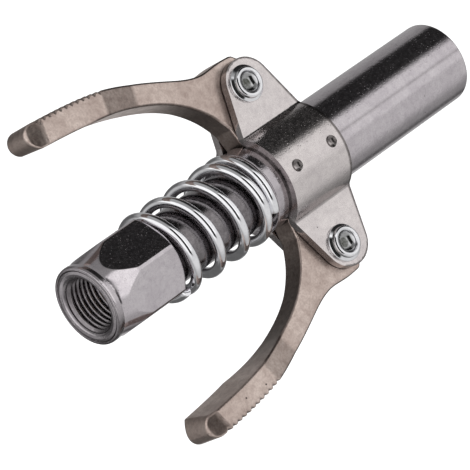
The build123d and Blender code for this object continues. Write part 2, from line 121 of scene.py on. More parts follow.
def weigh_normals(piece):
    """Keep flat faces flat beside their small rounded edges."""
    weighted = piece.modifiers.new("weighted", "WEIGHTED_NORMAL")
    weighted.weight = 100
    weighted.keep_sharp = True


def skin(rows, close_rows=False, close_columns=True):
    """Points and quads of a sheet laid over rows of equal length."""
    count = len(rows[0])
    points = [tuple(p) for row in rows for p in row]
    faces = []
    for i in range(len(rows) if close_rows else len(rows) - 1):
        a = i * count
        b = (i + 1) % len(rows) * count
        for k in range(count if close_columns else count - 1):
            n = (k + 1) % count
            faces.append((a + k, a + n, b + n, b + k))
    return points, faces


def rounded(profile, closed=True, steps=4):
    """Round each corner (a, b, radius) of a polyline; a radius of 0 keeps it sharp."""
    out = []
    count = len(profile)
    for i, (a, b, radius) in enumerate(profile):
        here = np.array((a, b), float)
        if radius == 0 or (not closed and i in (0, count - 1)):
            out.append(tuple(here))
            continue
        before = np.array(profile[i - 1][:2], float) - here
        after = np.array(profile[(i + 1) % count][:2], float) - here
        l0, l1 = np.linalg.norm(before), np.linalg.norm(after)
        before, after = before / l0, after / l1
        half = math.acos(max(-1.0, min(1.0, float(before @ after)))) / 2
        reach = min(radius / math.tan(half), SHORTEST * l0, SHORTEST * l1)
        size = reach * math.tan(half)
        middle = here + (before + after) / np.linalg.norm(before + after) * size / math.sin(half)
        start = here + before * reach - middle
        end = here + after * reach - middle
        sweep = math.atan2(start[0] * end[1] - start[1] * end[0], float(start @ end))
        for k in range(steps + 1):
            t = sweep * k / steps
            c, s = math.cos(t), math.sin(t)
            out.append(tuple(middle + (c * start[0] - s * start[1], s * start[0] + c * start[1])))
    return out


def natural_spline(points, spacing):
    """Positions on a smooth curve through points, about one spacing apart."""
    p = np.array(points, float)
    knots = np.concatenate(([0.0], np.cumsum(np.linalg.norm(np.diff(p, axis=0), axis=1))))
    h = np.diff(knots)
    n = len(p)
    system = np.zeros((n, n))
    right = np.zeros((n, p.shape[1]))
    system[0, 0] = system[-1, -1] = 1
    for i in range(1, n - 1):
        system[i, i - 1: i + 2] = h[i - 1], 2 * (h[i - 1] + h[i]), h[i]
        right[i] = 6 * ((p[i + 1] - p[i]) / h[i] - (p[i] - p[i - 1]) / h[i - 1])
    bend = np.linalg.solve(system, right)
    at = np.linspace(0, knots[-1], max(2, round(knots[-1] / spacing) + 1))
    i = np.clip(np.searchsorted(knots, at, side="right") - 1, 0, n - 2)
    u = (at - knots[i])[:, None]
    v = (knots[i + 1] - at)[:, None]
    w = h[i][:, None]
    return (
        bend[i] * v ** 3 / (6 * w) + bend[i + 1] * u ** 3 / (6 * w)
        + (p[i] / w - bend[i] * w / 6) * v + (p[i + 1] / w - bend[i + 1] * w / 6) * u
    )


def resample(line, shares):
    """Points of a polyline at shares (0 to 1) of its length."""
    line = np.array(line, float)
    run = np.concatenate(([0.0], np.cumsum(np.linalg.norm(np.diff(line, axis=0), axis=1))))
    at = np.array(shares) * run[-1]
    return np.stack([np.interp(at, run, line[:, k]) for k in range(line.shape[1])], axis=1)


def circle(count):
    """Equal angles all the way round."""
    return np.radians(np.arange(count) * 360 / count)


def turned(x, radius, angles):
    """Points round the axis; x and the radius are single values or one for each angle."""
    along = x + np.zeros_like(angles)
    return np.stack([along, radius * np.cos(angles), radius * np.sin(angles)], axis=1)


def tones(points, rule):
    """Tone of each point by a rule on its x, its distance from the axis and its angle round it."""
    return [rule(x, math.hypot(y, z), math.degrees(math.atan2(z, y))) for x, y, z in points]


def within(x, start, end, fade):
    """1 between two stations, falling to 0 over a fade outside them."""
    return min(max((x - start) / fade + 1, 0.0), max((end - x) / fade + 1, 0.0), 1.0)


def patch(x, most, start, end, fade):
    """A value that is most between two stations and falls to 0 over a fade outside them."""
    return most * within(x, start, end, fade)


def arc(centre, radius, start, end, steps):
    """Points of an arc in a plane; angles in degrees."""
    angles = np.radians(np.linspace(start, end, steps + 1))
    return [(centre[0] + radius * math.cos(a), centre[1] + radius * math.sin(a)) for a in angles]


# -------------------------------- materials

# Scales, per metre, of the noise in the metal's tint (clouds and patches), gloss, the unevenness of
# the painted shade and the film.
CLOUDS, PATCHES, GLOSS_SPREAD, UNEVEN_SHADE, FILM = 210, 950, 420, 1500, 1700
# Noise values at which the darker tint starts and is full, in the clouds, patches and grain.
CLOUD_STOPS, PATCH_STOPS, GRAIN_STOPS = (0.36, 0.66), (0.44, 0.7), (0.42, 0.75)
# Scale and height of the coarse grain against the fine one.
COARSE_SCALE, COARSE_HEIGHT = 0.3, 1.5
# Least roughness, and how much the noise adds, as shares of the roughness asked for.
LEAST_ROUGH, ROUGH_RANGE = 0.65, 0.7
# Spots per metre, size as a share of their spacing, depth in millimetres and added roughness.
DENTS = (2900, 0.5, 0.012, 0.14)
PITS = (420, 0.1, 0.03, 0.3)
PIT_COLOUR = (58, 54, 55)
SMALLEST_SPOT = 0.3   # size of the smallest spots as a share of the largest
SHADE_FILLS = 0.8     # share of the grain that the painted shade and the dull rims hide
# How far a face looks along the coupler where its dulling as a sheared rim starts and is full.
SHEARED = (0.86, 0.97)


def srgb(red, green, blue):
    """Linear colour from 0-255 display values."""
    def linear(value):
        value /= 255
        return value / 12.92 if value <= 0.04045 else ((value + 0.055) / 1.055) ** 2.4
    return linear(red), linear(green), linear(blue), 1.0


class Nodes:
    """Adds and links the shader nodes of one material."""

    def __init__(self, name):
        self.material = bpy.data.materials.new(name)
        self.material.use_nodes = True
        self.tree = self.material.node_tree
        self.shader = self.tree.nodes["Principled BSDF"]
        where = self.tree.nodes.new("ShaderNodeTexCoord")
        self.place, self.facing = where.outputs["Object"], where.outputs["Normal"]

    def link(self, source, target):
        self.tree.links.new(source, target)

    def put(self, value, target):
        """Set a socket to a plain value or link it to a node's output."""
        if isinstance(value, (int, float, tuple)):
            target.default_value = value
        else:
            self.link(value, target)

    def noise(self, scale, detail=3.0, roughness=0.55):
        node = self.tree.nodes.new("ShaderNodeTexNoise")
        node.inputs["Scale"].default_value = scale
        node.inputs["Detail"].default_value = detail
        node.inputs["Roughness"].default_value = roughness
        self.link(self.place, node.inputs["Vector"])
        return node.outputs["Fac"]

    def attribute(self, name):
        node = self.tree.nodes.new("ShaderNodeAttribute")
        node.attribute_name = name
        return node.outputs["Fac"]

    def spots(self, scale, size, share):
        """1 in a share of small scattered spots of uneven size, 0 elsewhere."""
        node = self.tree.nodes.new("ShaderNodeTexVoronoi")
        node.inputs["Scale"].default_value = scale
        self.link(self.place, node.inputs["Vector"])
        parts = self.tree.nodes.new("ShaderNodeSeparateColor")
        self.link(node.outputs["Color"], parts.inputs["Color"])
        kept = self.math("LESS_THAN", parts.outputs["Red"], share)
        wide = self.math("MULTIPLY", parts.outputs["Green"], 1 - SMALLEST_SPOT)
        wide = self.math("ADD", wide, SMALLEST_SPOT)
        near = self.math("DIVIDE", node.outputs["Distance"], wide)
        return self.math("MULTIPLY", kept, self.ramp(near, ((size * 0.5, 1.0), (size, 0.0))))

    def lengthwise(self, start, full):
        """1 where a face looks along the coupler, 0 where it looks sideways."""
        parts = self.tree.nodes.new("ShaderNodeSeparateXYZ")
        self.link(self.facing, parts.inputs["Vector"])
        steep = self.math("ABSOLUTE", parts.outputs["X"], 0.0)
        return self.ramp(steep, ((start, 0.0), (full, 1.0)))

    def ramp(self, source, stops):
        """Map a 0-1 value through grey stops."""
        node = self.tree.nodes.new("ShaderNodeValToRGB")
        elements = node.color_ramp.elements
        while len(elements) < len(stops):
            elements.new(0.5)
        for element, (at, grey) in zip(elements, stops):
            element.position = at
            element.color = (grey, grey, grey, 1)
        self.link(source, node.inputs["Fac"])
        return node.outputs["Color"]

    def math(self, kind, first, second):
        node = self.tree.nodes.new("ShaderNodeMath")
        node.operation = kind
        self.put(first, node.inputs[0])
        self.put(second, node.inputs[1])
        return node.outputs["Value"]

    def mix(self, factor, first, second):
        node = self.tree.nodes.new("ShaderNodeMix")
        node.data_type = "RGBA"
        colours = [socket for socket in node.inputs if socket.type == "RGBA"]
        factors = [socket for socket in node.inputs if socket.type == "VALUE"]
        self.put(factor, factors[0])
        self.put(first, colours[0])
        self.put(second, colours[1])
        return [socket for socket in node.outputs if socket.type == "RGBA"][0]

    def bump(self, height, distance, strength=1.0, base=None):
        node = self.tree.nodes.new("ShaderNodeBump")
        node.inputs["Distance"].default_value = distance
        self.put(strength, node.inputs["Strength"])
        self.link(height, node.inputs["Height"])
        if base:
            self.link(base, node.inputs["Normal"])
        return node.outputs["Normal"]

    def finish(self, colour, roughness, normal, metallic=1.0):
        self.put(metallic, self.shader.inputs["Metallic"])
        self.link(colour, self.shader.inputs["Base Color"])
        self.link(roughness, self.shader.inputs["Roughness"])
        self.link(normal, self.shader.inputs["Normal"])
        return self.material


def metal(
    name, light, dark, rough, grain, grain_size, pits=0.0, speck=0.0, mottle=0.3,
    shade=(40, 36, 34), rim=0.0, haze=0.0, dull_blur=0.06,
):
    """Metal with a mottled tint, varied gloss, grain, tiny dents, a few pits and dull places
    painted darker, mostly as painted shade.

    grain is the height in millimetres of a roughness grain_size millimetres across; pits and speck
    are the shares of dark pits and of tiny dents that catch the light. rim dulls the sheared faces
    that look along the coupler, haze is the plating's milky film and the last argument is the
    roughness added to the dull, painted-shade places.
    """
    n = Nodes(name)
    fine = n.noise(1 / (grain_size * MM), 2)
    mottling = (
        (n.noise(CLOUDS, 4), CLOUD_STOPS), (n.noise(PATCHES, 3), PATCH_STOPS), (fine, GRAIN_STOPS),
    )
    tint = srgb(*light)
    for spread, (start, full) in mottling:
        tint = n.mix(n.ramp(spread, ((start, 0.0), (full, mottle))), tint, srgb(*dark))
    # The tone attribute darkens the tint towards shade, mostly as painted shade; the rim adds the
    # sheared faces' own dullness.
    tone = n.attribute("tone")
    burnished = n.math("MAXIMUM", n.math("MULTIPLY", tone, -1.0), 0.0)
    shade_and_rim = n.math("MAXIMUM", tone, 0.0)
    if rim:
        shade_and_rim = n.math("MAXIMUM", shade_and_rim, n.math("MULTIPLY", n.lengthwise(*SHEARED), rim))
    uneven = n.ramp(n.noise(UNEVEN_SHADE, 3, 0.65), ((0.3, 0.72), (0.7, 1.0)))
    dull = n.math("MULTIPLY", shade_and_rim, uneven)
    hidden = n.math("MAXIMUM", n.math("MULTIPLY", dull, SHADE_FILLS), burnished)
    shown = n.math("SUBTRACT", 1.0, hidden)
    gloss = n.math("MULTIPLY", n.noise(GLOSS_SPREAD, 4), rough * ROUGH_RANGE)
    gloss = n.math("ADD", gloss, rough * LEAST_ROUGH)
    coarse = n.noise(COARSE_SCALE / (grain_size * MM), 3)
    normal = n.bump(coarse, COARSE_HEIGHT * grain * MM, shown, n.bump(fine, grain * MM, shown))
    if speck:
        scale, size, deep, blur = DENTS
        dent = n.spots(scale, size, speck)
        normal = n.bump(n.math("SUBTRACT", 1.0, dent), deep * MM, shown, normal)
        gloss = n.math("ADD", gloss, n.math("MULTIPLY", dent, blur))
    if pits:
        scale, size, deep, blur = PITS
        pit = n.spots(scale, size, pits)
        tint = n.mix(pit, tint, srgb(*PIT_COLOUR))
        gloss = n.math("ADD", gloss, n.math("MULTIPLY", pit, blur))
        normal = n.bump(n.math("SUBTRACT", 1.0, pit), deep * MM, 0.8, normal)
    tint = n.mix(dull, tint, srgb(*shade))
    gloss = n.math("ADD", gloss, n.math("MULTIPLY", dull, dull_blur))
    plated = n.ramp(n.noise(FILM, 4, 0.7), ((0.42, 1.0), (0.68, 1.0 - haze)))
    return n.finish(tint, gloss, normal, plated)


def plain(name, light, dark, rough, metallic):
    """Brass or rubber of the pieces inside."""
    n = Nodes(name)
    tint = n.mix(n.noise(300, 4), srgb(*light), srgb(*dark))
    gloss = n.math("ADD", n.math("MULTIPLY", n.noise(900, 3), 0.2), rough)
    return n.finish(tint, gloss, n.bump(n.noise(2500, 2), 0.008 * MM), metallic)


MATERIALS = {
    "polished_nickel": metal(
        "polished_nickel", (212, 206, 209), (166, 158, 165), 0.13, 0.011, 0.28,
        pits=0.2, speck=0.3, haze=0.05,
    ),
    "pressed_nickel": metal(
        "pressed_nickel", (228, 221, 219), (182, 174, 176), 0.16, 0.015, 0.28,
        pits=0.3, speck=0.35, shade=(52, 45, 43), rim=0.5, haze=0.09,
    ),
    "cast_nickel": metal(
        "cast_nickel", (218, 202, 193), (160, 140, 132), 0.34, 0.02, 0.35,
        pits=0.25, speck=0.1, mottle=0.45, shade=(44, 36, 32),
    ),
    "bright_steel": metal(
        "bright_steel", (244, 244, 246), (214, 214, 218), 0.06, 0.0012, 0.4, shade=(62, 64, 54),
    ),
    "spring_steel": metal(
        "spring_steel", (250, 250, 252), (220, 219, 224), 0.045, 0.002, 0.35, pits=0.1, speck=0.06,
    ),
    "hard_steel": metal("hard_steel", (170, 168, 166), (140, 136, 134), 0.3, 0.004, 0.4),
    "brass": plain("brass", (222, 184, 112), (196, 152, 84), 0.22, 1.0),
    "black_rubber": plain("black_rubber", (38, 38, 40), (24, 24, 26), 0.5, 0.0),
}


# -------------------------------- rear body

HEX_FLAT, HEX_CORNER = 7.15, 8.08
HEX_FIRST_CORNER = 23.0
HEX_EDGE = 0.06       # small breaks along the hex's turned edges
HEX_CHAMFER, HEX_FACE_INSET = 0.72, 0.12
BEAD_R, BEAD_END = 7.05, 1.42
CONE_R, CONE_START = 6.75, 1.55
CONE_BACK, CONE_END = 1.4, 7.0
GUIDE_R, NECK_R = 5.9, 3.0
NECK_BACK, COLLAR_BACK, COLLAR_FRONT = 40.5, 45.1, 52.0
SOCKET_R, SOCKET_BACK = 4.0, 46.0
PASSAGE_R, CHAMBER_R, SEAT_R = 1.25, 2.6, 3.5
CHAMBER_FRONT, SEAT_FRONT, PORT_DEEP = 20.0, 12.0, 9.5
THREAD_R, THREAD_DEEP, THREAD_PITCH = 5.08, 0.6, 0.941
THREAD_BACK, THREAD_FRONT = 0.38, 9.2
# Where the thread starts, and the lengths over which it rises and runs out.
THREAD_START, THREAD_LEAD, THREAD_RUNOUT = 0.2, 0.9, 0.8
THREAD_ROWS = 168
SIDE_ANGLES = (0, 1.0, 1.5, 2.5, 4.5, 7, 10, 13, 16, 19.5, 23, 26.5, 30)

# Profiles of the bar as (x, radius, rounding): the port's mouth out to the cone, and the rest from
# the hex's front edge round through the passage back to the port.
MOUTH_PROFILE = (
    (0.4, 5.12, 0), (0.12, 5.4, 0.15), (0.0, 5.85, 0.3), (0.1, 6.3, 0.06), (0.24, 6.38, 0.05),
    (0.24, 6.46, 0.05), (0.08, 6.54, 0.05), (0.16, BEAD_R - 0.1, 0.2), (0.6, BEAD_R, 0.3),
    (BEAD_END, BEAD_R, 0.3), (BEAD_END, CONE_R - 0.05, 0.05), (1.6, CONE_R, 0),
)
BODY_PROFILE = (
    (HEX_END, HEX_FLAT - HEX_FACE_INSET, 0.05), (HEX_END, GUIDE_R, 0.15),
    (NECK_BACK, GUIDE_R, 0.35), (NECK_BACK, NECK_R, 0.4),
    (COLLAR_BACK, NECK_R, 0.4), (COLLAR_BACK, GUIDE_R, 0.25),
    (COLLAR_FRONT, GUIDE_R, 0.2), (COLLAR_FRONT, SOCKET_R, 0.2),
    (SOCKET_BACK, SOCKET_R, 0.1), (SOCKET_BACK, PASSAGE_R, 0.1),
    (CHAMBER_FRONT, PASSAGE_R, 0.1), (CHAMBER_FRONT, CHAMBER_R, 0.3),
    (SEAT_FRONT, CHAMBER_R, 0.05), (SEAT_FRONT, SEAT_R, 0.1),
    (PORT_DEEP, SEAT_R, 0.1), (PORT_DEEP, 4.9, 0),
)

# The bar's tone: port, painted dark as shade inside the hollow; shank, painted darker; groove in
# the mouth, painted shade; and smooth cone; then the bead and the lip inside it, which are painted
# darker where they are shaded.
PORT_SHADE_TONE, SHANK_TONE, GROOVE_SHADE_TONE, CONE_TONE = 0.66, 0.74, 0.95, -0.85
BEAD_TONE, BEAD_SHADE, LIP_SHADE = 0.15, 0.6, 0.35
PORT_EDGE_R, GROOVE_LOW_R, GROOVE_HIGH_R, LIP_EDGE_R = 5.35, 6.3, 6.52, 6.6
SHADED_TURNS = (135.0, 181.0, 30.0)


def body_columns():
    """Angles round the axis, closer together at the hex corners, and the flats' radius there."""
    local = list(SIDE_ANGLES) + [60 - a for a in SIDE_ANGLES[-2:0:-1]]
    angles = [HEX_FIRST_CORNER + 60 * side + a for side in range(6) for a in local]
    reach = [min(HEX_FLAT / math.cos(math.radians(30 - a)), HEX_CORNER) for a in local] * 6
    return np.radians(angles), np.array(reach)


def rear_body():
    """Bar with the bead, the turned cone, the hex, shank, neck, collar and the threaded port."""
    angles, flats = body_columns()
    mouth = rounded(MOUTH_PROFILE, closed=False, steps=6)
    rows = [turned(x, r, angles) for x, r in mouth[:-1]]
    slope = (HEX_CORNER - CONE_R) / (CONE_END - CONE_BACK)
    meet = CONE_BACK + (flats - CONE_R) / slope
    for share in (0.05, 0.25, 0.5, 0.75, 0.93):
        x = CONE_START + (meet - CONE_START) * share
        rows.append(turned(x, CONE_R + (x - CONE_BACK) * slope, angles))
    rows.append(turned(meet + HEX_EDGE, flats, angles))
    front = flats - HEX_FLAT + HEX_FACE_INSET
    front = HEX_END - HEX_CHAMFER * front / (HEX_CORNER - HEX_FLAT)
    for share in (0.04, 0.35, 0.65, 0.96):
        x = meet + HEX_EDGE + (front - meet - HEX_EDGE) * share
        rows.append(turned(x, flats, angles))
    rows.append(turned(front, flats - 0.02, angles))
    rows.append(turned(HEX_END - HEX_EDGE, HEX_FLAT - HEX_EDGE, angles))
    rows += [turned(x, r, angles) for x, r in rounded(BODY_PROFILE, closed=False)]
    for number in range(THREAD_ROWS, -1, -1):
        x = THREAD_BACK + (THREAD_FRONT - THREAD_BACK) * number / THREAD_ROWS
        phase = (x / THREAD_PITCH - angles / math.tau) % 1.0
        wave = 1 - abs(2 * phase - 1)
        rise = min(1.0, (x - THREAD_START) / THREAD_LEAD)
        fade = rise * min(1.0, (PORT_DEEP - x) / THREAD_RUNOUT)
        ridge = np.clip(wave * 1.15 - 0.05, 0, 0.95)
        rows.append(turned(x, THREAD_R - THREAD_DEEP * fade * ridge, angles))
    points, faces = skin(rows, close_rows=True)
    piece = add_piece(
        "rear_body_skin", points, faces, "polished_nickel", "core", "rear_body",
        tone=tones(points, body_tone),
    )
    weigh_normals(piece)


def body_tone(x, r, turn):
    """How dark the bar is painted: painted shade in the port and its thread, a darker shank,
    painted shade in the groove in the mouth and on the shaded bead; smooth cone.
    """
    if r < PORT_EDGE_R:
        return PORT_SHADE_TONE
    if x > HEX_END + 0.1:
        return SHANK_TONE
    if x > 0.2 and GROOVE_LOW_R < r < GROOVE_HIGH_R:
        return GROOVE_SHADE_TONE
    if x < BEAD_END + 0.03:
        shaded = within(abs(turn), *SHADED_TURNS)
        return BEAD_TONE + BEAD_SHADE * shaded if r > LIP_EDGE_R else LIP_SHADE * shaded
    cone = CONE_R + (x - CONE_BACK) * (HEX_CORNER - CONE_R) / (CONE_END - CONE_BACK)
    return CONE_TONE if abs(r - cone) < 0.02 and x < CONE_END else 0.0


# -------------------------------- sleeve

MOUTH_R, THROAT_R = 6.43, 5.0
CLOSING_CONE, THROAT_BACK, THROAT_FRONT = 83.35, 84.3, 85.3
RELIEF_R, RELIEF_BACK, RELIEF_FRONT = 6.6, 54.2, 60.3
SLOT_MIDDLE, SLOT_SIZE = 46.0, (8.8, 20, 5.2)
# Stations inside the bracket where the sleeve's tone changes; the middle one is a ring of painted
# shade where the sleeve enters the bracket.
TONE_START, SHADE_RING, TONE_END = 41.3, 41.5, 51.0
# A faint painted dark reflection line along the sleeve's top: its angle, half width and tone.
DARK_LINE_TURN, DARK_LINE_HALF, DARK_LINE_TONE = 88.1, 3.4, 0.36
# Tone of the ring of painted shade, and of the slight darkening of the sleeve behind it.
RING_SHADE_TONE, REAR_TONE = 0.95, 0.1
SLEEVE_COLUMNS = 192

SLEEVE_PROFILE = (
    (SLEEVE_BACK, BORE_R, 0.15), (SLEEVE_BACK, SLEEVE_R, 0.3),
    (TONE_START, SLEEVE_R, 0), (SHADE_RING, SLEEVE_R, 0), (TONE_END, SLEEVE_R, 0),
    (SLEEVE_FRONT, SLEEVE_R, 0.95), (SLEEVE_FRONT, MOUTH_R, 0.12),
    (THROAT_FRONT, THROAT_R, 0.1), (THROAT_BACK, THROAT_R, 0.1), (CLOSING_CONE, BORE_R, 0.1),
    (RELIEF_FRONT, BORE_R, 0.05), (RELIEF_FRONT, RELIEF_R, 0.05),
    (RELIEF_BACK, RELIEF_R, 0.05), (RELIEF_BACK, BORE_R, 0.05),
    (TONE_END, BORE_R, 0), (TONE_START, BORE_R, 0),
)


def outer_sleeve():
    """Long sleeve with a rounded nose, the closing cone and a slot on each side."""
    angles = circle(SLEEVE_COLUMNS)
    rows = [turned(x, r, angles) for x, r in rounded(SLEEVE_PROFILE, steps=7)]
    points, faces = skin(rows, close_rows=True)
    piece = add_piece(
        "outer_sleeve_skin", points, faces, "polished_nickel", "sleeve", "outer_sleeve",
        tone=tones(points, sleeve_tone),
    )
    cutter_data = bpy.data.meshes.new("slot_cutter")
    work = bmesh.new()
    bmesh.ops.create_cube(work, size=1.0)
    work.to_mesh(cutter_data)
    work.free()
    size = Matrix.Diagonal((*(width * MM for width in SLOT_SIZE), 1))
    cutter_data.transform(Matrix.Translation((SLOT_MIDDLE * MM, 0, 0)) @ size)
    cutter = place("slot_cutter", cutter_data)
    cut = piece.modifiers.new("slots", "BOOLEAN")
    cut.object = cutter
    cut.operation = "DIFFERENCE"
    cut.solver = "EXACT"
    apply_modifiers(piece)
    bpy.data.objects.remove(cutter)
    for polygon in piece.data.polygons:
        polygon.use_smooth = True
    weigh_normals(piece)


def sleeve_tone(x, r, turn):
    """How dark the sleeve is painted: a ring of painted shade where it enters the bracket, a faint
    painted dark reflection line along its top and a slight darkening behind the ring.
    """
    if abs(x - SHADE_RING) < 0.05:
        return RING_SHADE_TONE
    if x > 50 and r > 7:
        return DARK_LINE_TONE * max(0.0, 1 - abs(turn - DARK_LINE_TURN) / DARK_LINE_HALF)
    return REAR_TONE * (x < SHADE_RING)


def apply_modifiers(piece):
    """Bake a piece's modifiers into its mesh."""
    bpy.context.view_layer.update()
    ready = piece.evaluated_get(bpy.context.evaluated_depsgraph_get())
    baked = bpy.data.meshes.new_from_object(ready)
    piece.modifiers.clear()
    piece.data = baked


# -------------------------------- bracket

DIMPLES = (44.7, 53.7)
DIMPLE_R, DIMPLE_DEEP = 1.1, 0.6
DIMPLE_BOWL = (DIMPLE_R ** 2 + DIMPLE_DEEP ** 2) / (2 * DIMPLE_DEEP)
DIMPLE_FIELD = 1.25   # half width of the finer mesh round each dent
FOLD_R = 0.8
EDGE_BEVEL = 0.5
PLAIN_STATIONS = (42.3, 43.0, 46.8, 47.8, 49.0, 50.2, 51.4, 55.3, 55.65, 55.95)
# Painted shade on the sheet: along its front edge, round the ears' tips and on one side of each
# dent.
SHEET_SHADE_TONE = 0.85
# The painted shade along the front edge starts at this share of the way to the front, and reaches
# this far inside the ear's tip.
SHADE_SHARE, SHADE_BAND = 0.96, 0.32
FOLD_TURN, FOLD_FADE, FOLD_TONE = 128, 12, 0.4


def ear_outline():
    """Range of x that the sheet covers at a height y on the ear."""
    root = math.sqrt(SHELL_R ** 2 - EAR_TOP ** 2)
    centre = np.array(EAR_CENTRE)
    touches = []
    for corner, turn in (((BRACKET_BACK, root), 1), ((BRACKET_FRONT, root), -1)):
        corner = np.array(corner)
        gap = centre - corner
        distance = np.linalg.norm(gap)
        swing = turn * math.asin(EAR_R / distance)
        along = math.sqrt(distance ** 2 - EAR_R ** 2)
        c, s = math.cos(swing), math.sin(swing)
        way = np.array((c * gap[0] - s * gap[1], s * gap[0] + c * gap[1])) / distance
        touches.append(corner + way * along)

    def span(y):
        y = abs(y)
        found = []
        for corner_x, touch, side in zip((BRACKET_BACK, BRACKET_FRONT), touches, (-1, 1)):
            if y <= root:
                found.append(corner_x)
            elif y <= touch[1]:
                share = (y - root) / (touch[1] - root)
                found.append(corner_x + (touch[0] - corner_x) * share)
            else:
                rise = min(EAR_R, y - centre[1])
                found.append(centre[0] + side * math.sqrt(max(0.0, EAR_R ** 2 - rise ** 2)))
        return found

    return span


def bracket_path():
    """Outer surface of the sheet across the coupler: (y, z), from one ear tip to the other."""
    fold = (math.sqrt((SHELL_R + FOLD_R) ** 2 - (EAR_TOP + FOLD_R) ** 2), EAR_TOP + FOLD_R)
    start = math.degrees(math.atan2(fold[1], fold[0]))
    tip = [
        (EAR_CENTRE[1] + EAR_R * math.sin(math.radians(a)), EAR_TOP)
        for a in np.linspace(90, 0, 16)
    ]
    flat = [(y, EAR_TOP) for y in np.linspace(EAR_CENTRE[1], fold[0], 9)[1:-1]]
    bend = arc(fold, FOLD_R, -90, start - 180, 6)
    top = 90 - math.degrees(DIMPLE_FIELD / SHELL_R)
    crown = arc((0, 0), SHELL_R, start, top, 18)[1:] + arc((0, 0), SHELL_R, top, 90, 10)[1:]
    half = tip + flat + bend + crown
    return half + [(-y, z) for y, z in half[-2::-1]]


def dimple_at(x, y):
    """Depth of the punched dents at a point of the sheet's crown, and the painted shade on one side
    of them.
    """
    depth = dent_shade = 0.0
    for dimple in DIMPLES:
        reach = math.hypot(x - dimple, y)
        if reach < DIMPLE_R:
            depth = math.sqrt(DIMPLE_BOWL ** 2 - reach ** 2) - (DIMPLE_BOWL - DIMPLE_DEEP)
            dent_shade = patch(0.8 * (x - dimple) + 0.6 * y, SHEET_SHADE_TONE, 0.1, 1.2, 0.5)
    return depth, dent_shade


def sheet_tone(x, y, z, share):
    """How dark the sheet is painted: painted shade along the front edge and round the ears' tips,
    dull in the lower fold.
    """
    tip = EAR_R - math.hypot(x - EAR_CENTRE[0], abs(y) - EAR_CENTRE[1])
    on_tip = abs(y) > EAR_CENTRE[1] + 1 and tip < SHADE_BAND and x > EAR_CENTRE[0] - 3
    if share > SHADE_SHARE or on_tip:
        return SHEET_SHADE_TONE
    turn = math.degrees(math.atan2(z, y))
    if z > EAR_TOP + 0.02 and turn > FOLD_TURN:
        return FOLD_TONE * min(1.0, (turn - FOLD_TURN) / FOLD_FADE)
    return 0.0


def bracket(name, node, flip):
    """One pressed half: sheet with thickness, rounded edges and two punched dents."""
    span = ear_outline()
    stations = [BRACKET_BACK, BRACKET_FRONT, *PLAIN_STATIONS]
    for x in DIMPLES:
        stations += list(x + np.linspace(-DIMPLE_FIELD, DIMPLE_FIELD, 21))
    stations = np.array(sorted(stations))
    shares = (stations - BRACKET_BACK) / (BRACKET_FRONT - BRACKET_BACK)
    rows, tone = [], []
    for y, z in bracket_path():
        low, high = span(y)
        row = []
        for share in shares:
            x = low + (high - low) * share
            depth, dent_shade = dimple_at(x, y) if z > SHELL_R / 2 else (0.0, 0.0)
            scale = 1 - depth / SHELL_R
            tone.append(max(dent_shade, sheet_tone(x, y, z, share)))
            row.append((x, y * scale, z * scale * (1 if flip > 0 else -1)))
        rows.append(row)
    points, faces = skin(rows, close_columns=False)
    piece = add_piece(name, points, faces, "pressed_nickel", "sleeve", node, tone=tone)
    top = max(piece.data.vertices, key=lambda v: flip * v.co.z)
    if flip * top.normal.z < 0:
        piece.data.flip_normals()
    thick = piece.modifiers.new("sheet", "SOLIDIFY")
    thick.thickness = SHEET * MM
    thick.offset = -1
    thick.use_even_offset = True
    edge = piece.modifiers.new("edges", "BEVEL")
    edge.width = EDGE_BEVEL * MM
    edge.segments = 4
    edge.limit_method = "ANGLE"
    edge.angle_limit = math.radians(50)
    weigh_normals(piece)


# -------------------------------- rivets

SHAFT_R, FLANGE_R, RIM_R = 2.0, 3.3, 2.72
RECESS_R, RECESS_TOP, RECESS_DEEP = 1.95, 1.3, 1.22
# Painted shade in the rivets' recess, more at its floor, and in the groove between rim and flange.
RECESS_SHADE_TONE, FLOOR_SHADE_TONE, RIVET_GROOVE_SHADE = 0.65, 0.35, 0.9
RIVET_COLUMNS = 72
# Profiles as (radius, height off the ear, rounding), outwards above and inwards below.
RIVET_TOP = (
    (2.05, 1.34, 0.1), (2.42, 1.42, 0.16), (RIM_R, 1.25, 0.14), (RIM_R, 0.72, 0.12),
    (FLANGE_R, 0.42, 0.2), (FLANGE_R, 0.0, 0.03), (SHAFT_R, 0.0, 0),
)
RIVET_UNDER = (
    (SHAFT_R, 0.0, 0), (FLANGE_R, 0.0, 0.03), (FLANGE_R, 0.45, 0.2), (2.5, 1.4, 0.5), (0.0, 1.4, 0),
)


def pivot_rivets():
    """Two rivets: flange, rolled rim and deep recess on top, low dome below."""
    recess = [
        (RECESS_R * math.sin(a), RECESS_TOP - RECESS_DEEP * math.cos(a), 0)
        for a in map(math.radians, range(0, 90, 6))
    ]
    top = rounded((*recess, *RIVET_TOP), closed=False, steps=5)
    under = rounded(RIVET_UNDER, closed=False, steps=5)
    profile = [(r, EAR_TOP + z) for r, z in top] + [(r, -EAR_TOP - z) for r, z in under]
    angles = circle(RIVET_COLUMNS)
    points, faces = [], []
    for side in (1, -1):
        rows = [
            np.stack([
                PIVOT[0] + r * np.cos(angles), side * PIVOT[1] + r * np.sin(angles),
                np.full_like(angles, z),
            ], axis=1)
            for r, z in profile
        ]
        own, quads = skin(rows)
        faces += [tuple(len(points) + v for v in quad) for quad in quads]
        points += own
    piece = add_piece(
        "rivet_heads", points, faces, "bright_steel", "sleeve", "pivot_rivets",
        tone=[rivet_tone(*point) for point in points],
    )
    weigh_normals(piece)


